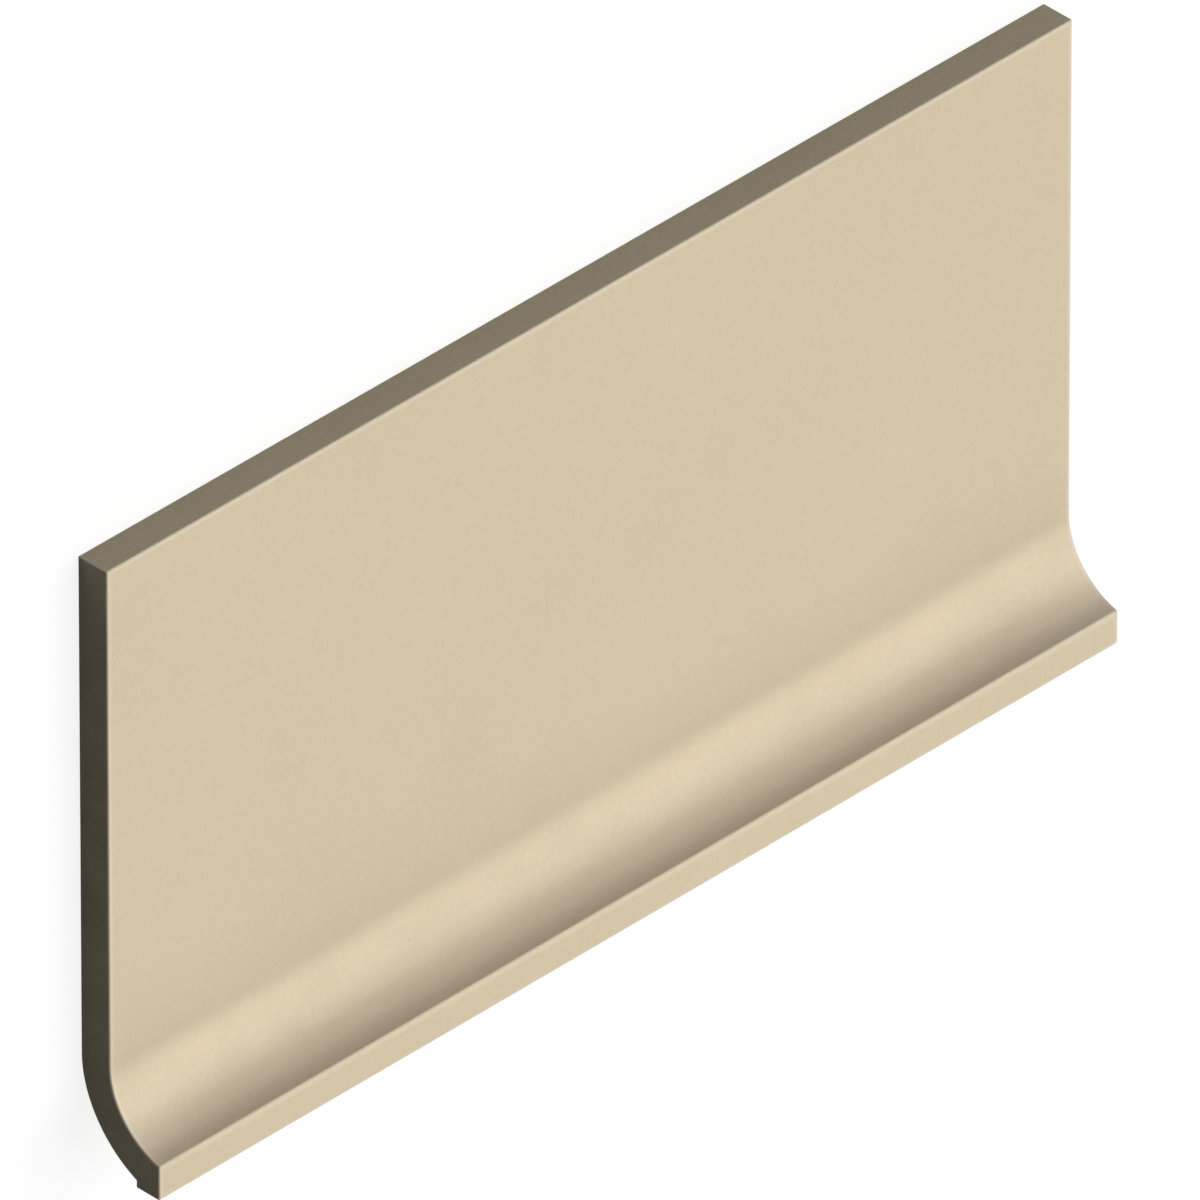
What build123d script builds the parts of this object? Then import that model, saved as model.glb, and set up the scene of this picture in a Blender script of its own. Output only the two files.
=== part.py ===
from build123d import *

import os
from math import acos, degrees, sin

# Cove base tile, one pressed and fired piece, in millimetres.
# It lies on its back: X runs along the tile, Y runs up the wall from the foot to the top edge,
# and Z stands out of the face. The origin is under the middle of the tile, on the back plane.

# Body
LENGTH = 300.0
HEIGHT = 161.3  # from the foot to the top edge
THICKNESS = 9.0  # the same all the way down the leaf and round the cove

# Cove and toe
COVE_RADIUS = 19.5  # on the face, and the back bends about the same axis
TOE_PROJECTION = 15.3  # from the face to the front of the toe
FOOT_DEPTH = 7.3  # flat strip that stands on the floor bed
FOOT_STEP = 1.9  # from the bent back down to the foot

# Eased edge round the face and the toe
ARRIS_RADIUS = 0.5

# Mortar key pressed into the flat of the back: rows of shallow pockets between ribs
KEY_POCKET = 22.0
KEY_RIB = 4.0
KEY_CORNER = 2.5
KEY_DEPTH = 0.8
KEY_DRAFT = 15.0  # degrees, on the pocket walls
KEY_BORDER = 8.0  # least width left plain round the pockets

# Section, worked out about the axis of the cove
WALLWARD = -90.0  # degrees, from the axis of the cove straight back to the wall
depth = THICKNESS + TOE_PROJECTION
back_radius = COVE_RADIUS + THICKNESS
foot_back = depth - FOOT_DEPTH
back_sweep = acos((back_radius - foot_back) / back_radius)
cove_sweep = acos((COVE_RADIUS - TOE_PROJECTION) / COVE_RADIUS)
foot_y = -HEIGHT / 2
top_y = HEIGHT / 2
axis_y = foot_y + FOOT_STEP + back_radius * sin(back_sweep)

# Key pattern, as many whole pockets as the flat of the back takes
key_pitch = KEY_POCKET + KEY_RIB
flat_back = top_y - axis_y
key_columns = int((LENGTH - 2 * KEY_BORDER + KEY_RIB) // key_pitch)
key_rows = int((flat_back - 2 * KEY_BORDER + KEY_RIB) // key_pitch)


def make_body():
    """Draw the end section of the tile and draw it out along the length."""
    with BuildPart() as body:
        with BuildSketch(Plane.YZ.offset(-LENGTH / 2)):
            with BuildLine():
                cove_axis = (axis_y, back_radius)
                bent_back = CenterArc(cove_axis, back_radius, WALLWARD, -degrees(back_sweep))
                cove = CenterArc(cove_axis, COVE_RADIUS, WALLWARD, -degrees(cove_sweep))
                Polyline(bent_back @ 1, (foot_y, foot_back), (foot_y, depth), cove @ 1)
                Polyline(cove @ 0, (top_y, THICKNESS), (top_y, 0), bent_back @ 0)
            make_face()
        extrude(amount=LENGTH)
    return body.part


def face_edges(body):
    """Find the sharp edges round the face, the cove and the front of the toe."""
    outward = body.faces().filter_by(Axis.Z).filter_by(lambda side: side.normal_at().Z > 0)
    face, toe_front = outward.sort_by(Axis.Z)
    cove = body.faces().filter_by(GeomType.CYLINDER).sort_by(Axis.Z)[-1]
    tangent_line = face.edges() & cove.edges()
    return face.edges() + cove.edges() + toe_front.edges() - tangent_line


def make_key():
    """Make the rows of drafted pockets that the back is pressed with."""
    with BuildPart() as key:
        with BuildSketch(Plane.XY):
            with Locations((0, axis_y + flat_back / 2)):
                with GridLocations(key_pitch, key_pitch, key_columns, key_rows):
                    RectangleRounded(KEY_POCKET, KEY_POCKET, KEY_CORNER)
        extrude(amount=KEY_DEPTH, taper=KEY_DRAFT)
    return key.part


body = make_body()
tile = body.fillet(ARRIS_RADIUS, face_edges(body)) - make_key()

os.makedirs("parts", exist_ok=True)
export_step(tile, "parts/cove_tile.step")
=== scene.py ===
"""Cove base tile: a matt fired tile on its back on a pale floor, seen as an isometric sheet shows it."""

import logging
from collections.abc import Callable
from dataclasses import dataclass
from enum import Enum, IntEnum
from math import acos, pi, radians, sin, tan
from types import TracebackType
from typing import ClassVar

import bmesh
import bpy
from mathutils import Matrix, Vector


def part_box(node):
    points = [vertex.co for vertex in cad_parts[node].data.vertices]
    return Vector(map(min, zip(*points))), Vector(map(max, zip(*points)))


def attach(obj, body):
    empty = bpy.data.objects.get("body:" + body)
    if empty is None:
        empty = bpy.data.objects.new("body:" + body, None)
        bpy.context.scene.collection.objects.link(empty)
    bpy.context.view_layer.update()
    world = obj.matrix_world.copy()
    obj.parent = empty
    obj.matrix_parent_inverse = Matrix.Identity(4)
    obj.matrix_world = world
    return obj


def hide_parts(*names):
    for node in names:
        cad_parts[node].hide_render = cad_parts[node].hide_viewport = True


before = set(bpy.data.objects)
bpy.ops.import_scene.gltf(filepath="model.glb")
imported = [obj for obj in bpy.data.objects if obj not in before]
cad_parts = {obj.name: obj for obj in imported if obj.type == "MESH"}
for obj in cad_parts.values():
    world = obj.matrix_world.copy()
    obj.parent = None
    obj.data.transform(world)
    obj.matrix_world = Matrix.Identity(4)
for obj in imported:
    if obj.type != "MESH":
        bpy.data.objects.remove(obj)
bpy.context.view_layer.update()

LOG = logging.getLogger("cove_tile")

MM = 0.001
SQUARE = 0.99  # cosine past which a face counts as square to an axis
TILE_NODE = "cove_tile"
BODY_NAME = "root"

Colour = tuple[float, float, float]
Point = tuple[float, float, float]
Span = tuple[float, float]
Socket = bpy.types.NodeSocket
FaceTest = Callable[[bmesh.types.BMFace], bool]
EdgeTest = Callable[[bmesh.types.BMEdge], bool]

WHITE = (1.0, 1.0, 1.0, 1.0)


def paint(red: int, green: int, blue: int) -> Colour:
    """Turn a colour as a screen shows it into the linear values that a shader takes.

    Args:
        red: Red, from 0 to 255.
        green: Green, from 0 to 255.
        blue: Blue, from 0 to 255.

    Returns:
        The linear colour.
    """
    full, knee, slope, offset, power = 255, 0.04045, 12.92, 0.055, 2.4
    shares = [value / full for value in (red, green, blue)]
    return tuple(s / slope if s <= knee else ((s + offset) / (1 + offset)) ** power for s in shares)


class Surface(IntEnum):
    """The finishes of the tile, in the order of its material slots."""

    FACE = 0
    BODY = 1
    ARRIS = 2


class FloorSheet(IntEnum):
    """The sheets of the floor, in the order of its material slots."""

    PLAIN = 0
    STRIP = 1


class LampRole(Enum):
    """What a lamp is for."""

    KEY = "key_lamp"
    FILL = "fill_lamp"
    FOOT = "foot_lamp"


class Arithmetic(Enum):
    """How a node combines its values."""

    ADD = "ADD"
    SUBTRACT = "SUBTRACT"
    MULTIPLY = "MULTIPLY"
    LESSER = "MINIMUM"
    GREATER = "MAXIMUM"
    ABOVE = "GREATER_THAN"
    SIZE = "ABSOLUTE"


class NodeBench:
    """Adds and joins the nodes of one material or world."""

    def __init__(self, tree: bpy.types.NodeTree) -> None:
        """Take a node tree and empty it."""
        self.tree = tree
        self.tree.nodes.clear()

    def add(self, kind: str, **settings: object) -> bpy.types.Node:
        """Add a node and set its own options.

        Args:
            kind: The node's type, without its ShaderNode prefix.
            **settings: The node's properties.

        Returns:
            The new node.
        """
        node = self.tree.nodes.new("ShaderNode" + kind)
        for name, value in settings.items():
            setattr(node, name, value)
        return node

    def feed(self, value: Socket | Colour | float, target: Socket) -> None:
        """Link an output to an input, or set the input to a plain value.

        Args:
            value: The output, the colour or the number.
            target: The input.
        """
        if isinstance(value, Socket):
            self.tree.links.new(value, target)
        else:
            target.default_value = value

    def feed_in_order(self, node: bpy.types.Node, *values: Socket | float) -> None:
        """Feed values to a node's inputs, from the first input on.

        Args:
            node: The node.
            *values: The values, in order.
        """
        for value, socket in zip(values, node.inputs):
            self.feed(value, socket)

    def noise(self, place: Socket, size: float, detail: float) -> Socket:
        """Add a noise whose patches are about as wide as a given size.

        Args:
            place: The coordinates that it reads.
            size: Width of a patch, in metres.
            detail: Octaves of finer noise.

        Returns:
            Its grey value, about 0.5 on average.
        """
        node = self.add("TexNoise")
        node.inputs["Scale"].default_value = 1 / size
        node.inputs["Detail"].default_value = detail
        self.feed(place, node.inputs["Vector"])
        return node.outputs["Fac"]

    def remap(self, source: Socket, span: Span, result: Span) -> Socket:
        """Stretch a span of values to another, and hold them there.

        Args:
            source: The value to stretch.
            span: Its low and high end.
            result: What those ends become.

        Returns:
            The stretched value.
        """
        node = self.add("MapRange")
        node.inputs["From Min"].default_value, node.inputs["From Max"].default_value = span
        node.inputs["To Min"].default_value, node.inputs["To Max"].default_value = result
        self.feed(source, node.inputs["Value"])
        return node.outputs["Result"]

    def work_out(self, arithmetic: Arithmetic, *values: Socket | float) -> Socket:
        """Combine values by arithmetic.

        Args:
            arithmetic: How they are combined.
            *values: One or two values, in order.

        Returns:
            The combined value.
        """
        node = self.add("Math", operation=arithmetic.value)
        self.feed_in_order(node, *values)
        return node.outputs["Value"]

    def product(self, first: Socket, *others: Socket) -> Socket:
        """Multiply values with one another.

        Args:
            first: The first value.
            *others: The other values.

        Returns:
            The product.
        """
        result = first
        for other in others:
            result = self.work_out(Arithmetic.MULTIPLY, result, other)
        return result

    def shade(self, base: Socket | Colour, factor: Socket) -> Socket:
        """Multiply a colour by a grey value.

        Args:
            base: The colour.
            factor: The grey value.

        Returns:
            The shaded colour.
        """
        node = self.add("VectorMath", operation="SCALE")
        self.feed(base, node.inputs["Vector"])
        self.feed(factor, node.inputs["Scale"])
        return node.outputs["Vector"]

    def tint(self, base: Socket, colour: Colour, share: Socket) -> Socket:
        """Multiply a colour by another, where a grey value says so.

        Args:
            base: The colour.
            colour: What it is multiplied by.
            share: How far, from 0 to 1.

        Returns:
            The tinted colour.
        """
        ramp = self.add("ValToRGB")
        plain, full = ramp.color_ramp.elements
        plain.color = WHITE
        full.color = (*colour, 1.0)
        self.feed(share, ramp.inputs["Fac"])
        node = self.add("VectorMath", operation="MULTIPLY")
        self.feed_in_order(node, base, ramp.outputs["Color"])
        return node.outputs["Vector"]

    def mix(self, share: Socket, first: Socket, second: Socket) -> Socket:
        """Mix two shaders.

        Args:
            share: Share of the second shader, from 0 to 1.
            first: The first shader.
            second: The second shader.

        Returns:
            The mixed shader.
        """
        node = self.add("MixShader")
        self.feed_in_order(node, share, first, second)
        return node.outputs["Shader"]

    def total(self, first: Socket, second: Socket) -> Socket:
        """Add two shaders up.

        Args:
            first: The first shader.
            second: The second shader.

        Returns:
            The sum of the two.
        """
        node = self.add("AddShader")
        self.feed_in_order(node, first, second)
        return node.outputs["Shader"]

    def seen_directly(self) -> Socket:
        """Give 1 to rays from the camera, a gloss or a glass, and 0 to the rays that light the tile.

        Returns:
            The 1 or 0.
        """
        path = self.add("LightPath")
        shown = self.work_out(
            Arithmetic.GREATER, path.outputs["Is Camera Ray"], path.outputs["Is Glossy Ray"]
        )
        return self.work_out(Arithmetic.GREATER, shown, path.outputs["Is Transmission Ray"])


@dataclass(frozen=True)
class GlazeAndPaintedShading:
    """The glaze, thin inside the arris, with painted shading: a cooler shade tone low in the cove,
    painted shade above the toe, and painted light at the cove's ends.

    Attributes:
        half_length: Distance from the middle of the tile to the ends of the face.
        top: Place of the face's top edge along Y.
        line: Place of the paler line below the toe's upper edge, along Y.
        toe: Place of the toe's upper edge along Y, where the painted shade is darkest.
        steep_cove_shade_high: Where the painted shade above the toe begins, along Y.
        low_cove: Where the painted cooler shade tone low in the cove is at its full depth and where it
            begins, along Y.
        width: Width of the paler line.
        end_light_reach: How far from the ends the low cove gets painted light.
        thin_tint: What the thinnest glaze multiplies the colour by.
        cove_shade_tint: What the painted cooler shade tone low in the cove multiplies the colour by.
        steep_cove_shade_tint: What the painted shade above the toe multiplies the colour by.
        end_light_tint: What the painted light at the ends of the low cove multiplies the colour by.
    """

    half_length: float
    top: float
    line: float
    toe: float
    steep_cove_shade_high: float
    low_cove: Span
    width: float = 0.9 * MM
    end_light_reach: float = 32 * MM
    thin_tint: Colour = (1.07, 1.11, 1.18)
    # Painted cooler shade tone on the low cove, which lies in shade.
    cove_shade_tint: Colour = (0.99, 1.01, 1.10)
    # Painted shade on the last strip of the cove above the toe's upper edge.
    steep_cove_shade_tint: Colour = (0.77, 0.76, 0.81)
    # Painted light on the low cove towards its open ends.
    end_light_tint: Colour = (1.25, 1.25, 1.25)

    CORE: ClassVar[float] = 0.5  # share of the line's width over which it is palest
    WANDER_SIZE: ClassVar[float] = 6 * MM
    WANDER_DETAIL: ClassVar[float] = 2.0
    WANDER_SHARE: ClassVar[float] = 0.4  # how far the line strays, as a share of its width

    def tone(self, bench: NodeBench, place: Socket, base: Socket) -> Socket:
        """Pale the line along the edges, paint light on the low cove's ends, and paint a cooler shade
        tone low in the cove and darker shade above the toe.

        Args:
            bench: The material's nodes.
            place: Object coordinates.
            base: Colour of the glaze.

        Returns:
            The colour.
        """
        parts = bench.add("SeparateXYZ")
        bench.feed(place, parts.inputs["Vector"])
        up = parts.outputs["Y"]
        from_middle = bench.work_out(Arithmetic.SIZE, parts.outputs["X"])
        from_end = bench.work_out(Arithmetic.SUBTRACT, self.half_length, from_middle)
        above_toe = bench.work_out(Arithmetic.ABOVE, up, self.toe)
        # Painted light: the low cove is lightened towards its open ends.
        near_end = bench.remap(from_end, (0.0, self.end_light_reach), (1.0, 0.0))
        # Painted shade: the last strip of the cove above the toe's upper edge is darkened.
        steep_cove_shade = bench.product(bench.remap(up, (self.toe, self.steep_cove_shade_high), (1.0, 0.0)), above_toe)
        # Painted shade tone: the low cove, which lies in shade, is tinted cooler.
        low = bench.product(bench.remap(up, self.low_cove, (1.0, 0.0)), above_toe)
        tints = (
            (self.thin_tint, self._thinness(bench, place, from_end, up)),
            (self.cove_shade_tint, low),
            (self.steep_cove_shade_tint, steep_cove_shade),
            (self.end_light_tint, bench.product(near_end, near_end, low)),
        )
        tone = base
        for colour, share in tints:
            tone = bench.tint(tone, colour, share)
        return tone

    def _thinness(self, bench: NodeBench, place: Socket, from_end: Socket, up: Socket) -> Socket:
        """Tell how thin the glaze is along the edges of the face and of the toe.

        Args:
            bench: The material's nodes.
            place: Object coordinates.
            from_end: Distance from the nearer end.
            up: Place up the wall.

        Returns:
            The thinness, from 0 to 1.
        """
        from_top = bench.work_out(Arithmetic.SUBTRACT, self.top, up)
        past_line = bench.work_out(Arithmetic.SUBTRACT, self.line, up)
        from_line = bench.work_out(Arithmetic.SIZE, past_line)
        nearer = bench.work_out(Arithmetic.LESSER, from_end, from_top)
        nearest = bench.work_out(Arithmetic.LESSER, nearer, from_line)
        stray = self.WANDER_SHARE * self.width
        wander = bench.noise(place, self.WANDER_SIZE, self.WANDER_DETAIL)
        strayed = bench.remap(wander, (0.0, 1.0), (-stray, stray))
        distance = bench.work_out(Arithmetic.ADD, nearest, strayed)
        return bench.remap(distance, (self.CORE * self.width, self.width), (1.0, 0.0))


@dataclass(frozen=True)
class FiredFinish:
    """One surface of the fired tile, with its clouding, specks and grain.

    Attributes:
        name: Name of the material.
        colour: Mean colour, linear.
        cloud: How far the soft clouding lightens and darkens the colour, as a share.
        grain: How far the fine grain lightens and darkens the colour, as a share.
        grain_size: Width of a grain, in metres.
        grain_height: Height of the grain's relief, in metres.
        ripple_size: Width of the soft ripple of the surface, in metres.
        ripple_height: Height of the ripple, in metres.
        speck_gap: Mean distance between specks, in metres.
        speck_radius: Radius of a speck, in metres.
        speck_depth: How much darker a speck is, as a share.
        roughness: Mean roughness of the gloss.
        roughness_spread: How far the roughness strays from its mean.
        specular: Specular level of the gloss.
        gloss: Colour of the gloss, linear.
    """

    name: str
    colour: Colour
    cloud: float
    grain: float
    grain_size: float
    grain_height: float
    ripple_size: float
    ripple_height: float
    speck_gap: float
    speck_radius: float
    speck_depth: float
    roughness: float
    roughness_spread: float
    specular: float
    gloss: Colour

    CLOUD_SIZE: ClassVar[float] = 60 * MM
    CLOUD_DETAIL: ClassVar[float] = 2.0
    GRAIN_DETAIL: ClassVar[float] = 3.0
    RIPPLE_DETAIL: ClassVar[float] = 1.0
    SHEEN_SIZE: ClassVar[float] = 14 * MM
    SHEEN_DETAIL: ClassVar[float] = 4.0
    NOISE_SPAN: ClassVar[Span] = (0.3, 0.7)  # grey values between which a noise mostly lies
    SPECK_SHARE: ClassVar[float] = 0.45  # share of the speck pattern's cells that hold a speck
    SPECK_CORE: ClassVar[float] = 0.5  # share of a speck's radius over which it is darkest

    def make(self, glaze_and_shading: GlazeAndPaintedShading | None = None) -> bpy.types.Material:
        """Build the material.

        Args:
            glaze_and_shading: How the glaze thins, and the painted shade and light, on a surface that
                has them.

        Returns:
            The finished material.
        """
        material = bpy.data.materials.new(self.name)
        material.use_nodes = True
        bench = NodeBench(material.node_tree)
        place = bench.add("TexCoord").outputs["Object"]
        tone = self._tone(bench, place)
        if glaze_and_shading:
            tone = glaze_and_shading.tone(bench, place, tone)
        shader = bench.add("BsdfPrincipled")
        shader.inputs["Specular IOR Level"].default_value = self.specular
        shader.inputs["Specular Tint"].default_value = (*self.gloss, 1.0)
        bench.feed(tone, shader.inputs["Base Color"])
        bench.feed(self._sheen(bench, place), shader.inputs["Roughness"])
        bench.feed(self._relief(bench, place), shader.inputs["Normal"])
        output = bench.add("OutputMaterial")
        bench.feed(shader.outputs["BSDF"], output.inputs["Surface"])
        return material

    def _tone(self, bench: NodeBench, place: Socket) -> Socket:
        """Colour of the surface: soft clouds, fine grain and sparse specks.

        Args:
            bench: The material's nodes.
            place: Object coordinates.

        Returns:
            The colour.
        """
        clouds = bench.noise(place, self.CLOUD_SIZE, self.CLOUD_DETAIL)
        cloud_tone = bench.remap(clouds, self.NOISE_SPAN, (1 - self.cloud, 1 + self.cloud))
        grains = bench.noise(place, self.grain_size, self.GRAIN_DETAIL)
        grain_tone = bench.remap(grains, self.NOISE_SPAN, (1 - self.grain, 1 + self.grain))
        clouded = bench.shade(self.colour, cloud_tone)
        grained = bench.shade(clouded, grain_tone)
        return bench.shade(grained, self._specks(bench, place))

    def _specks(self, bench: NodeBench, place: Socket) -> Socket:
        """Grey value that darkens a few small spots.

        Args:
            bench: The material's nodes.
            place: Object coordinates.

        Returns:
            The grey value, 1 away from the specks.
        """
        cells = bench.add("TexVoronoi")
        cells.inputs["Scale"].default_value = 1 / self.speck_gap
        bench.feed(place, cells.inputs["Vector"])
        reach = self.speck_radius / self.speck_gap
        spot = bench.remap(cells.outputs["Distance"], (self.SPECK_CORE * reach, reach), (1.0, 0.0))
        draw = bench.add("SeparateColor")
        bench.feed(cells.outputs["Color"], draw.inputs["Color"])
        kept = bench.remap(draw.outputs["Red"], (1 - self.SPECK_SHARE, 1.0), (0.0, 1.0))
        return bench.remap(bench.product(spot, kept), (0.0, 1.0), (1.0, 1 - self.speck_depth))

    def _sheen(self, bench: NodeBench, place: Socket) -> Socket:
        """Roughness that strays a little from place to place.

        Args:
            bench: The material's nodes.
            place: Object coordinates.

        Returns:
            The roughness.
        """
        patches = bench.noise(place, self.SHEEN_SIZE, self.SHEEN_DETAIL)
        spread = (self.roughness - self.roughness_spread, self.roughness + self.roughness_spread)
        return bench.remap(patches, self.NOISE_SPAN, spread)

    def _relief(self, bench: NodeBench, place: Socket) -> Socket:
        """Soft ripple of the fired surface, with its fine grain on top.

        Args:
            bench: The material's nodes.
            place: Object coordinates.

        Returns:
            The shading normal.
        """
        ripple = bench.add("Bump")
        ripple.inputs["Distance"].default_value = self.ripple_height
        bench.feed(bench.noise(place, self.ripple_size, self.RIPPLE_DETAIL), ripple.inputs["Height"])
        grain = bench.add("Bump")
        grain.inputs["Distance"].default_value = self.grain_height
        bench.feed(bench.noise(place, self.grain_size, self.GRAIN_DETAIL), grain.inputs["Height"])
        bench.feed(ripple.outputs["Normal"], grain.inputs["Normal"])
        return grain.outputs["Normal"]


MATT_FACE = FiredFinish(
    name="matt_fired_face",
    colour=paint(206, 190, 161),
    cloud=0.018,
    grain=0.03,
    grain_size=1.2 * MM,
    grain_height=0.02 * MM,
    ripple_size=4.0 * MM,
    ripple_height=0.08 * MM,
    speck_gap=3.5 * MM,
    speck_radius=0.4 * MM,
    speck_depth=0.16,
    roughness=0.45,
    roughness_spread=0.04,
    specular=0.97,
    gloss=(1.0, 0.86, 0.62),
)

PRESSED_BODY = FiredFinish(
    name="pressed_fired_body",
    colour=paint(200, 187, 161),
    cloud=0.02,
    grain=0.06,
    grain_size=0.8 * MM,
    grain_height=0.05 * MM,
    ripple_size=5.0 * MM,
    ripple_height=0.06 * MM,
    speck_gap=2.5 * MM,
    speck_radius=0.35 * MM,
    speck_depth=0.3,
    roughness=0.74,
    roughness_spread=0.05,
    specular=0.3,
    gloss=(1.0, 0.93, 0.8),
)

WORN_ARRIS = FiredFinish(
    name="worn_arris",
    colour=paint(227, 214, 188),
    cloud=0.02,
    grain=0.03,
    grain_size=0.7 * MM,
    grain_height=0.006 * MM,
    ripple_size=3.0 * MM,
    ripple_height=0.012 * MM,
    speck_gap=3.0 * MM,
    speck_radius=0.3 * MM,
    speck_depth=0.12,
    roughness=0.56,
    roughness_spread=0.06,
    specular=0.4,
    gloss=(1.0, 0.93, 0.8),
)


class EditSession:
    """Edit mode on one mesh, in which faces and edges are picked by their place or normal."""

    def __init__(self, piece: bpy.types.Object) -> None:
        """Take the mesh object to edit."""
        self.piece = piece

    def __enter__(self) -> "EditSession":
        """Open edit mode on the piece alone.

        Returns:
            The session.
        """
        bpy.ops.object.select_all(action="DESELECT")
        self.piece.select_set(True)
        bpy.context.view_layer.objects.active = self.piece
        bpy.ops.object.mode_set(mode="EDIT")
        return self

    def __exit__(
        self, kind: type[BaseException] | None, error: BaseException | None, trace: TracebackType | None
    ) -> None:
        """Go back to object mode."""
        bpy.ops.object.mode_set(mode="OBJECT")

    def pick_faces(self, wanted: FaceTest) -> None:
        """Select the faces that a test wants, and nothing else.

        Args:
            wanted: The test.
        """
        bpy.ops.mesh.select_mode(type="FACE")
        bpy.ops.mesh.select_all(action="DESELECT")
        for face in bmesh.from_edit_mesh(self.piece.data).faces:
            if wanted(face):
                face.select_set(True)
        bmesh.update_edit_mesh(self.piece.data)

    def pick_edges(self, wanted: EdgeTest) -> None:
        """Select the edges that a test wants, and nothing else.

        Args:
            wanted: The test.
        """
        bpy.ops.mesh.select_mode(type="EDGE")
        bpy.ops.mesh.select_all(action="DESELECT")
        for edge in bmesh.from_edit_mesh(self.piece.data).edges:
            if wanted(edge):
                edge.select_set(True)
        bmesh.update_edit_mesh(self.piece.data)

    def pick_all(self) -> None:
        """Select the whole mesh."""
        bpy.ops.mesh.select_mode(type="FACE")
        bpy.ops.mesh.select_all(action="SELECT")

    def cut_across(self, x_lines: list[float], y_lines: list[float]) -> None:
        """Cut the whole mesh along straight lines.

        Args:
            x_lines: Where the cuts that run along Y lie.
            y_lines: Where the cuts that run along X lie.
        """
        for x in x_lines:
            self.pick_all()
            bpy.ops.mesh.bisect(plane_co=(x, 0.0, 0.0), plane_no=(1.0, 0.0, 0.0))
        for y in y_lines:
            self.pick_all()
            bpy.ops.mesh.bisect(plane_co=(0.0, y, 0.0), plane_no=(0.0, 1.0, 0.0))

    def pull_flat(self, keep: Point, plane: Point) -> None:
        """Draw the picked faces out and press them flat on a plane.

        Args:
            keep: 1 for each axis along which points stay, and 0 for the axis that is pressed flat.
            plane: A point of the plane.
        """
        bpy.ops.mesh.extrude_region_move()
        bpy.ops.transform.resize(value=keep, center_override=plane)


@dataclass
class MortarKey:
    """Rows of shallow pockets that the back is pressed with.

    Attributes:
        pocket: Width of a pocket at its rim.
        rib: Width of the rib between two pockets.
        corner: Radius of a pocket's corners.
        depth: Depth of a pocket.
        draft: Lean of the pocket walls, in radians.
        border: Least width left plain round the pockets.
        land: Strip of the rib that is shaped with each pocket.
        softening: Width of the rounding on a pocket's edges.
    """

    pocket: float = 22.0 * MM
    rib: float = 4.0 * MM
    corner: float = 2.5 * MM
    depth: float = 0.8 * MM
    draft: float = radians(15)
    border: float = 8.0 * MM
    land: float = 1.0 * MM
    softening: float = 0.2 * MM

    CORNER_STEPS: ClassVar[int] = 5
    SOFT_STEPS: ClassVar[int] = 2
    ALLOWANCE: ClassVar[float] = 0.01 * MM  # slack on a pocket's depth when its edges are picked

    @property
    def reach(self) -> float:
        """Distance from the middle of a pocket to the far side of its land."""
        return self.pocket / 2 + self.land

    def middles(self, room: float, centre: float) -> list[float]:
        """Middles of the pockets that fit along one side of the back.

        Args:
            room: Length of the side.
            centre: Middle of the side.

        Returns:
            The middles, in order.
        """
        pitch = self.pocket + self.rib
        count = int((room - 2 * self.border + self.rib) // pitch)
        return [centre + (i - (count - 1) / 2) * pitch for i in range(count)]

    def cuts(self, middles: list[float]) -> list[float]:
        """Lines on both sides of each pocket and its land."""
        return [middle + side * self.reach for middle in middles for side in (-1, 1)]

    def press(self, edit: EditSession, columns: list[float], rows: list[float]) -> None:
        """Sink the pockets into the cells of the back.

        Args:
            edit: The open edit session.
            columns: Middles of the pockets along the length.
            rows: Middles of the pockets up the wall.
        """
        centres = [Vector((x, y, 0.0)) for x in columns for y in rows]
        low = Vector((min(columns) - self.reach, min(rows) - self.reach))
        high = Vector((max(columns) + self.reach, max(rows) + self.reach))
        lean = self.depth * tan(self.draft)
        edit.pick_faces(lambda face: self._is_cell(face, centres))
        bpy.ops.mesh.inset(thickness=self.land, use_individual=True)
        bpy.ops.mesh.bevel(offset=self.corner, segments=self.CORNER_STEPS, affect="VERTICES")
        edit.pick_faces(lambda face: self._is_cell(face, centres))
        bpy.ops.mesh.inset(thickness=lean, depth=-self.depth, use_individual=True)
        edit.pick_edges(lambda edge: self._is_rim(edge, low, high))
        bpy.ops.mesh.bevel(offset=self.softening, segments=self.SOFT_STEPS, affect="EDGES")

    def _is_cell(self, face: bmesh.types.BMFace, centres: list[Vector]) -> bool:
        """Tell a pocket's cell by the place of its middle.

        Args:
            face: The face to test.
            centres: Middles of the pockets.

        Returns:
            Whether it is a cell.
        """
        middle = face.calc_center_median()
        central = any((middle - centre).length < self.land / 2 for centre in centres)
        return central and face.normal.z < -SQUARE

    def _is_rim(self, edge: bmesh.types.BMEdge, low: Vector, high: Vector) -> bool:
        """Tell an edge between a pocket's wall and a flat of the back.

        Args:
            edge: The edge to test.
            low: Lowest corner of the field of pockets.
            high: Highest corner of the field of pockets.

        Returns:
            Whether it is such an edge.
        """
        places = [vertex.co for vertex in edge.verts]
        inside = all(low.x < p.x < high.x and low.y < p.y < high.y for p in places)
        shallow = all(p.z < self.depth + self.ALLOWANCE for p in places)
        flats = [face.normal.z < -SQUARE for face in edge.link_faces]
        return inside and shallow and sorted(flats) == [False, True]


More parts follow.
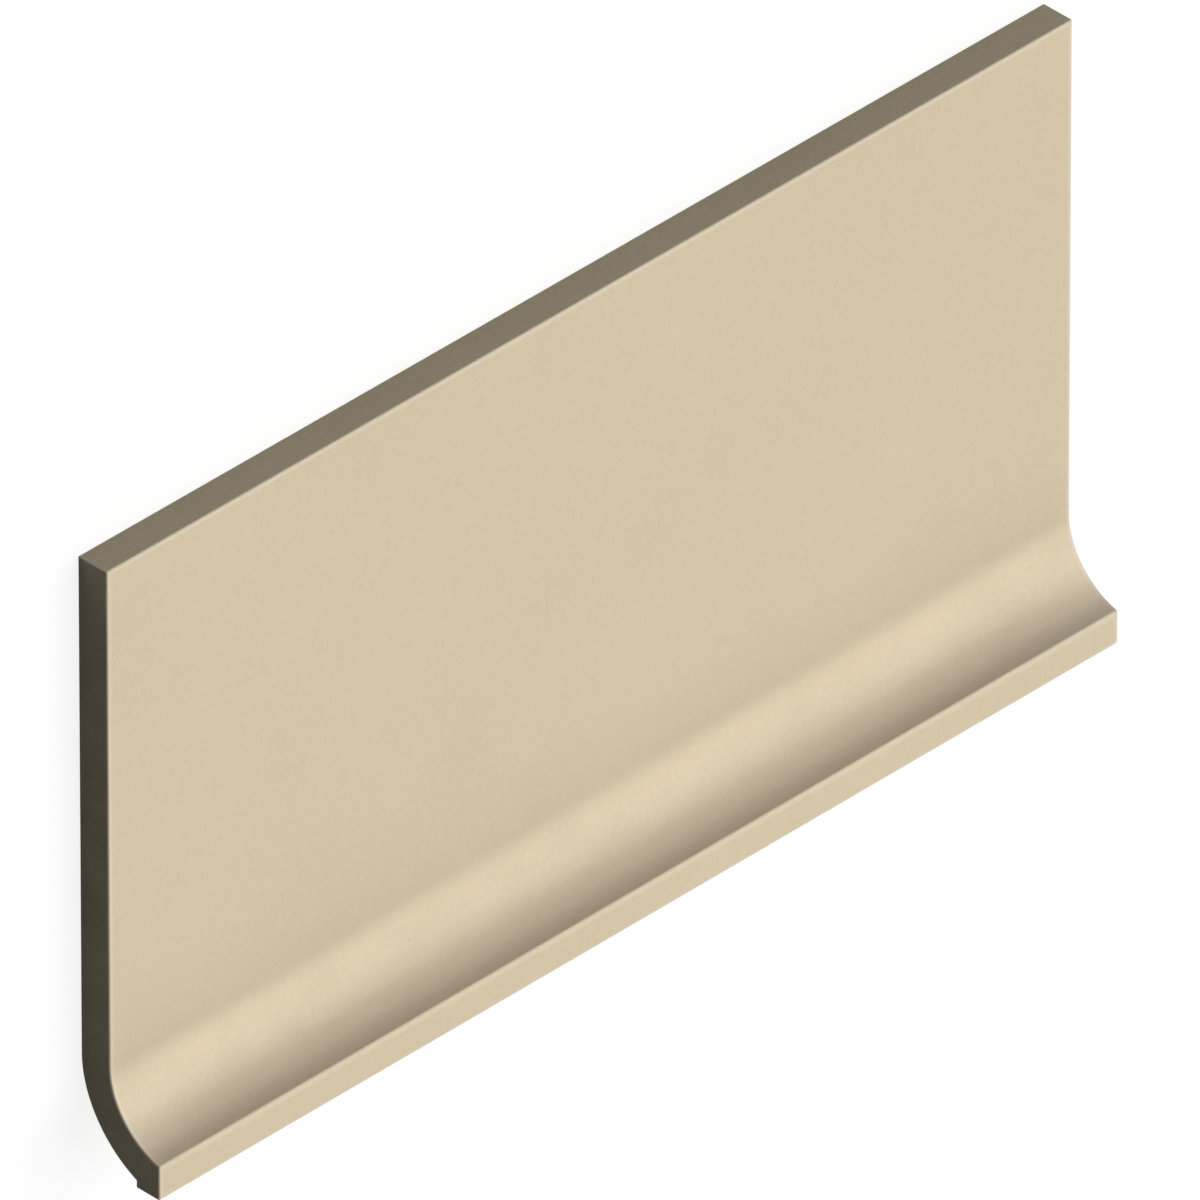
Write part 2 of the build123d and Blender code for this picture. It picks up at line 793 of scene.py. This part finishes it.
@dataclass
class CoveTile:
    """The tile, lying on its back: X along it, Y up the wall and Z out of the face.

    Attributes:
        length: Length of the tile.
        height: Height from the foot to the top edge.
        depth: Depth from the back to the front of the toe.
        key: The pockets of the back.
        thickness: Thickness of the leaf and of the wall round the cove.
        cove_radius: Radius of the cove on the face.
        foot_depth: Depth of the flat foot.
        foot_step: Height of the step behind the foot.
        arris: Radius of the eased edge round the face.
    """

    length: float
    height: float
    depth: float
    key: MortarKey
    thickness: float = 9.0 * MM
    cove_radius: float = 19.5 * MM
    foot_depth: float = 7.3 * MM
    foot_step: float = 1.9 * MM
    arris: float = 0.5 * MM

    NAME: ClassVar[str] = "fired_cove_tile"
    BEND_STEPS: ClassVar[int] = 36
    TOE_STEPS: ClassVar[int] = 6
    ARRIS_STEPS: ClassVar[int] = 4
    BACK_EDGE_SHARE: ClassVar[float] = 0.5  # easing of the edges round the back, as a share of the arris
    SHARP: ClassVar[float] = radians(30)  # angle past which an edge counts as sharp
    COPLANAR: ClassVar[float] = radians(0.2)  # angle within which two faces count as one flat
    MERGE: ClassVar[float] = 0.001 * MM  # distance within which two points count as one
    FACING: ClassVar[float] = 0.05  # cosine past which a face counts as turned towards an axis
    FORWARD: ClassVar[float] = 0.9  # cosine past which a face counts as looking forward
    STEEP_COVE_SHADE_SHARE: ClassVar[float] = 0.11  # how far up the cove the painted shade above the toe reaches, in cove radii
    # Depths below the axis at which the painted cooler shade tone is full and at which it begins, in
    # cove radii
    LOW_COVE_SHARES: ClassVar[Span] = (0.77, 0.36)
    TOE_LINE: ClassVar[float] = 1.6  # how far below the toe's upper edge the paler line lies, in arrises

    @property
    def back_radius(self) -> float:
        """Radius of the bent back, about the axis of the cove."""
        return self.cove_radius + self.thickness

    @property
    def foot_back(self) -> float:
        """Where the foot begins, measured from the back plane."""
        return self.depth - self.foot_depth

    @property
    def back_sweep(self) -> float:
        """Angle through which the back bends before the foot."""
        return acos((self.back_radius - self.foot_back) / self.back_radius)

    @property
    def cove_sweep(self) -> float:
        """Angle through which the face bends before the toe."""
        return acos((self.back_radius - self.depth) / self.cove_radius)

    @property
    def foot_y(self) -> float:
        """Place of the foot along Y."""
        return -self.height / 2

    @property
    def top_y(self) -> float:
        """Place of the top edge along Y."""
        return self.height / 2

    @property
    def axis_y(self) -> float:
        """Place of the axis of the cove along Y."""
        return self.foot_y + self.foot_step + self.back_radius * sin(self.back_sweep)

    @property
    def toe_top(self) -> float:
        """Place of the toe's upper edge along Y."""
        return self.axis_y - self.cove_radius * sin(self.cove_sweep)

    @property
    def flat_height(self) -> float:
        """Height of the flat leaf, from the axis of the cove to the top edge."""
        return self.top_y - self.axis_y

    @property
    def flat_middle(self) -> float:
        """Place of the flat leaf's middle along Y."""
        return self.axis_y + self.flat_height / 2

    @property
    def glaze_and_shading(self) -> GlazeAndPaintedShading:
        """How the glaze thins, and the painted shade and light, on the face, the cove and the front of
        the toe.

        Returns:
            The flow.
        """
        full, start = (self.axis_y - share * self.cove_radius for share in self.LOW_COVE_SHARES)
        return GlazeAndPaintedShading(
            half_length=self.length / 2 - self.arris,
            top=self.top_y - self.arris,
            line=self.toe_top - self.TOE_LINE * self.arris,
            toe=self.toe_top,
            steep_cove_shade_high=self.toe_top + self.STEEP_COVE_SHADE_SHARE * self.cove_radius,
            low_cove=(full, start),
        )

    def build(self) -> bpy.types.Object:
        """Model the tile and dress it.

        Returns:
            The finished piece, in place of the plain solid.
        """
        piece = self._leaf()
        with EditSession(piece) as edit:
            self._bend(edit)
            self._toe(edit)
            self._mark_arrises(edit)
        self._ease_edges(piece)
        with EditSession(piece) as edit:
            self._press_back(edit)
        self._smooth(piece)
        self._dress(piece)
        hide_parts(TILE_NODE)
        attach(piece, BODY_NAME)
        return piece

    def _leaf(self) -> bpy.types.Object:
        """Start with the flat leaf above the cove.

        Returns:
            The leaf, as a block.
        """
        bpy.ops.object.select_all(action="DESELECT")
        bpy.ops.mesh.primitive_cube_add(
            size=1.0,
            location=(0.0, self.flat_middle, self.thickness / 2),
            scale=(self.length, self.flat_height, self.thickness),
        )
        bpy.ops.object.transform_apply(location=True, rotation=True, scale=True)
        piece = bpy.context.active_object
        piece.name = self.NAME
        piece.data.name = self.NAME
        return piece

    def _bend(self, edit: EditSession) -> None:
        """Spin the lower end of the leaf about the axis of the cove, to the foot and on to the toe.

        Args:
            edit: The open edit session.
        """
        axis = (0.0, self.axis_y, self.back_radius)
        bends = (
            (self.BEND_STEPS, self.back_sweep),
            (self.TOE_STEPS, self.cove_sweep - self.back_sweep),
        )
        edit.pick_faces(lambda face: face.normal.y < -SQUARE)
        for steps, angle in bends:
            bpy.ops.mesh.spin(steps=steps, angle=angle, center=axis, axis=(1.0, 0.0, 0.0))

    def _toe(self, edit: EditSession) -> None:
        """Draw the end of the bend down to the foot and forward to the front of the toe.

        Args:
            edit: The open edit session.
        """
        edit.pick_faces(self._is_over_foot)
        edit.pull_flat(keep=(1.0, 0.0, 1.0), plane=(0.0, self.foot_y, 0.0))
        edit.pick_faces(self._is_bend_end)
        edit.pull_flat(keep=(1.0, 1.0, 0.0), plane=(0.0, 0.0, self.depth))
        edit.pick_all()
        bpy.ops.mesh.remove_doubles(threshold=self.MERGE)
        bpy.ops.mesh.normals_make_consistent(inside=False)
        bpy.ops.mesh.dissolve_limited(angle_limit=self.COPLANAR)

    def _is_over_foot(self, face: bmesh.types.BMFace) -> bool:
        """Tell the faces of the bent back that lie over the foot.

        Args:
            face: The face to test.

        Returns:
            Whether it is one of them.
        """
        outward = face.normal
        looks_down = outward.y < -self.FACING and outward.z < 0 and abs(outward.x) < SQUARE
        return looks_down and face.calc_center_median().z > self.foot_back

    def _is_bend_end(self, face: bmesh.types.BMFace) -> bool:
        """Tell the faces at the end of the bend, which look forward."""
        return face.calc_center_median().y < self.toe_top and face.normal.z > self.FORWARD

    def _mark_arrises(self, edit: EditSession) -> None:
        """Weigh the sharp edges: full round the face, less round the back.

        Args:
            edit: The open edit session.
        """
        edit.pick_edges(lambda edge: self._is_sharp(edge) and self._meets_face(edge))
        bpy.ops.transform.edge_bevelweight(value=1.0)
        edit.pick_edges(lambda edge: self._is_sharp(edge) and not self._meets_face(edge))
        bpy.ops.transform.edge_bevelweight(value=self.BACK_EDGE_SHARE)

    def _is_sharp(self, edge: bmesh.types.BMEdge) -> bool:
        """Tell an edge that stands out."""
        return edge.calc_face_angle_signed() > self.SHARP

    def _meets_face(self, edge: bmesh.types.BMEdge) -> bool:
        """Tell an edge of the face, the cove or the front of the toe."""
        return any(face.normal.z > self.FACING for face in edge.link_faces)

    def _ease_edges(self, piece: bpy.types.Object) -> None:
        """Round the weighed edges.

        Args:
            piece: The tile.
        """
        for _ in Surface:
            piece.data.materials.append(None)
        rounding = piece.modifiers.new("arris", "BEVEL")
        rounding.limit_method = "WEIGHT"
        rounding.width = self.arris
        rounding.segments = self.ARRIS_STEPS
        rounding.material = Surface.ARRIS
        bpy.ops.object.modifier_apply(modifier=rounding.name)

    def _press_back(self, edit: EditSession) -> None:
        """Cut the mesh along the ribs of the back, and press the pockets between them.

        Args:
            edit: The open edit session.
        """
        columns = self.key.middles(self.length, 0.0)
        rows = self.key.middles(self.flat_height, self.flat_middle)
        edit.cut_across(self.key.cuts(columns), self.key.cuts(rows))
        self.key.press(edit, columns, rows)

    def _smooth(self, piece: bpy.types.Object) -> None:
        """Shade the bends smoothly, and keep the flats flat.

        Args:
            piece: The tile.
        """
        bpy.ops.object.shade_smooth_by_angle(angle=self.SHARP)
        weighing = piece.modifiers.new("flat_sides", "WEIGHTED_NORMAL")
        weighing.keep_sharp = True
        bpy.ops.object.modifier_apply(modifier=weighing.name)

    def _dress(self, piece: bpy.types.Object) -> None:
        """Give the face, the body and the arris their finishes.

        Args:
            piece: The tile.
        """
        finishes = {
            Surface.FACE: MATT_FACE.make(self.glaze_and_shading),
            Surface.BODY: PRESSED_BODY.make(),
            Surface.ARRIS: WORN_ARRIS.make(),
        }
        for surface, material in finishes.items():
            piece.data.materials[surface] = material
        for side in piece.data.polygons:
            if side.material_index != Surface.ARRIS:
                side.material_index = Surface.FACE if side.normal.z > self.FACING else Surface.BODY


@dataclass(frozen=True)
class StudioLamp:
    """A broad, distant lamp.

    Attributes:
        role: What the lamp is for.
        towards: Direction from the tile to the lamp.
        level: Brightness that it gives a white sheet turned to it.
        spread: Width of the lamp as seen from the tile, in radians.
    """

    role: LampRole
    towards: Point
    level: float
    spread: float

    def hang(self) -> bpy.types.Object:
        """Put the lamp in the scene.

        Returns:
            The lamp.
        """
        aim = Vector(self.towards).normalized()
        turn = aim.to_track_quat("Z", "Y").to_euler()
        bpy.ops.object.light_add(type="SUN", location=aim, rotation=turn)
        lamp = bpy.context.active_object
        lamp.name = self.role.value
        lamp.data.energy = self.level * pi
        lamp.data.angle = self.spread
        return lamp


@dataclass(frozen=True)
class SheetCamera:
    """A long lens that looks along the diagonal of a cube, with the wall's up as the picture's up.

    Attributes:
        towards: Direction from the tile to the camera.
        upright: Direction that is up in the picture.
        lens: Focal length, in millimetres.
        frame_width: Width of the picture at the middle of the tile, in metres.
        aside: How far the aim lies to the left of the tile's middle, in metres.
    """

    towards: Point = (-1.0, 1.0, 1.0)
    upright: Point = (0.0, 1.0, 0.0)
    lens: float = 1650.0
    frame_width: float = 264.55 * MM
    aside: float = 0.76 * MM

    NAME: ClassVar[str] = "sheet_camera"

    def place(self, middle: Vector) -> bpy.types.Object:
        """Set the camera up and look through it.

        Args:
            middle: The middle of the tile.

        Returns:
            The camera.
        """
        back = Vector(self.towards).normalized()
        right = Vector(self.upright).cross(back).normalized()
        turn = Matrix((right, back.cross(right), back)).transposed()
        bpy.ops.object.camera_add(rotation=turn.to_euler())
        camera = bpy.context.active_object
        camera.name = self.NAME
        camera.data.lens = self.lens
        distance = self.frame_width * self.lens / camera.data.sensor_width
        camera.location = middle + back * distance - right * self.aside
        bpy.context.scene.camera = camera
        return camera


@dataclass(frozen=True)
class Studio:
    """A pale floor with a paler strip behind the top edge, three lamps and a dim room round them.

    Attributes:
        floor_width: Width of the floor, in metres.
        floor_bounce: How much light the floor throws back at the tile, from 0 to 1.
        strip_bounce: How much light the strip behind the top edge throws back at it, from 0 to 1.
        strip_width: Width of the strip, in metres.
        strip_overhang: How far the strip reaches past the left end, in metres.
        floor_glow: What the floor shows of itself, which the lamps on its matt part bring up to white.
        floor_matt: How pale the floor's matt part is, which shows the shadow, from 0 to 1.
        room_level: Brightness of the room.
        lamps: The lamps.
    """

    floor_width: float = 14.0
    floor_bounce: float = 0.08
    strip_bounce: float = 0.34
    strip_width: float = 0.4
    strip_overhang: float = 0.03
    floor_glow: float = 0.86
    floor_matt: float = 0.16
    room_level: float = 0.04
    lamps: tuple[StudioLamp, ...] = (
        StudioLamp(LampRole.KEY, towards=(0.55, 0.13, 0.82), level=0.91, spread=radians(65)),
        StudioLamp(LampRole.FILL, towards=(0.0, -0.9, 0.44), level=0.26, spread=radians(26)),
        StudioLamp(LampRole.FOOT, towards=(0.0, -1.0, 0.03), level=0.35, spread=radians(8)),
    )

    FLOOR_NAME: ClassVar[str] = "pale_floor"
    STRIP_NAME: ClassVar[str] = "paler_strip"
    ROOM_NAME: ClassVar[str] = "dim_room"

    def build(self, left: float, top: float) -> None:
        """Lay the floor, light the room and hang the lamps.

        Args:
            left: Where the left end of the tile lies along X.
            top: Where the top edge of the tile lies along Y.
        """
        self._lay_floor(left - self.strip_overhang, top)
        self._light_room()
        for lamp in self.lamps:
            LOG.info("lamp %s", lamp.hang().name)

    def _lay_floor(self, strip_left: float, strip_near: float) -> None:
        """Lay the floor, with the strip cut into it.

        Args:
            strip_left: Where the strip begins along X.
            strip_near: Where the strip begins along Y.
        """
        bpy.ops.object.select_all(action="DESELECT")
        bpy.ops.mesh.primitive_plane_add(size=self.floor_width)
        floor = bpy.context.active_object
        floor.name = self.FLOOR_NAME
        strip_right = strip_left + self.strip_width
        strip_far = strip_near + self.strip_width
        with EditSession(floor) as edit:
            edit.cut_across([strip_left, strip_right], [strip_near, strip_far])
        floor.data.materials.append(self._white_sheet(self.FLOOR_NAME, self.floor_bounce))
        floor.data.materials.append(self._white_sheet(self.STRIP_NAME, self.strip_bounce))
        for patch in floor.data.polygons:
            across = strip_left < patch.center.x < strip_right
            along = strip_near < patch.center.y < strip_far
            patch.material_index = FloorSheet.STRIP if across and along else FloorSheet.PLAIN

    def _white_sheet(self, name: str, bounce: float) -> bpy.types.Material:
        """Make a plain sheet that the camera sees as white, and that keeps the tile's shadow.

        Args:
            name: Name of the material.
            bounce: How much light it throws back at the tile, from 0 to 1.

        Returns:
            The material.
        """
        material = bpy.data.materials.new(name)
        material.use_nodes = True
        bench = NodeBench(material.node_tree)
        glow = bench.add("Emission")
        glow.inputs["Strength"].default_value = self.floor_glow
        seen = bench.total(glow.outputs["Emission"], self._matt(bench, self.floor_matt))
        self._show(bench, self._matt(bench, bounce), seen, "OutputMaterial")
        return material

    def _light_room(self) -> None:
        """Make the room dim for the tile and white for the camera."""
        world = bpy.data.worlds.new(self.ROOM_NAME)
        world.use_nodes = True
        bench = NodeBench(world.node_tree)
        dim = bench.add("Background")
        dim.inputs["Color"].default_value = WHITE
        dim.inputs["Strength"].default_value = self.room_level
        white = bench.add("Background")
        white.inputs["Color"].default_value = WHITE
        self._show(bench, dim.outputs["Background"], white.outputs["Background"], "OutputWorld")
        bpy.context.scene.world = world

    def _matt(self, bench: NodeBench, level: float) -> Socket:
        """Add a matt grey.

        Args:
            bench: The nodes to add it to.
            level: How pale it is, from 0 to 1.

        Returns:
            The shader.
        """
        node = bench.add("BsdfDiffuse")
        node.inputs["Color"].default_value = (level, level, level, 1.0)
        return node.outputs["BSDF"]

    def _show(self, bench: NodeBench, lighting: Socket, seen: Socket, output: str) -> None:
        """Use one shader for the light that reaches the tile, and another for what is seen.

        Args:
            bench: The nodes to add to.
            lighting: Shader for the rays that light the tile.
            seen: Shader for what the camera or a gloss sees.
            output: Type of the output node.
        """
        shown = bench.mix(bench.seen_directly(), lighting, seen)
        bench.feed(shown, bench.add(output).inputs["Surface"])


def main() -> None:
    """Build the tile, then the studio round it."""
    logging.basicConfig(level=logging.INFO, format="%(name)s: %(message)s")
    lowest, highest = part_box(TILE_NODE)
    span = highest - lowest
    tile = CoveTile(length=span.x, height=span.y, depth=span.z, key=MortarKey()).build()
    LOG.info("piece %s: %d faces", tile.name, len(tile.data.polygons))
    Studio().build(left=lowest.x, top=highest.y)
    camera = SheetCamera().place((lowest + highest) / 2)
    LOG.info("camera %s", camera.name)
    bpy.context.scene.view_settings.view_transform = "Standard"


if __name__ == "__main__":
    main()
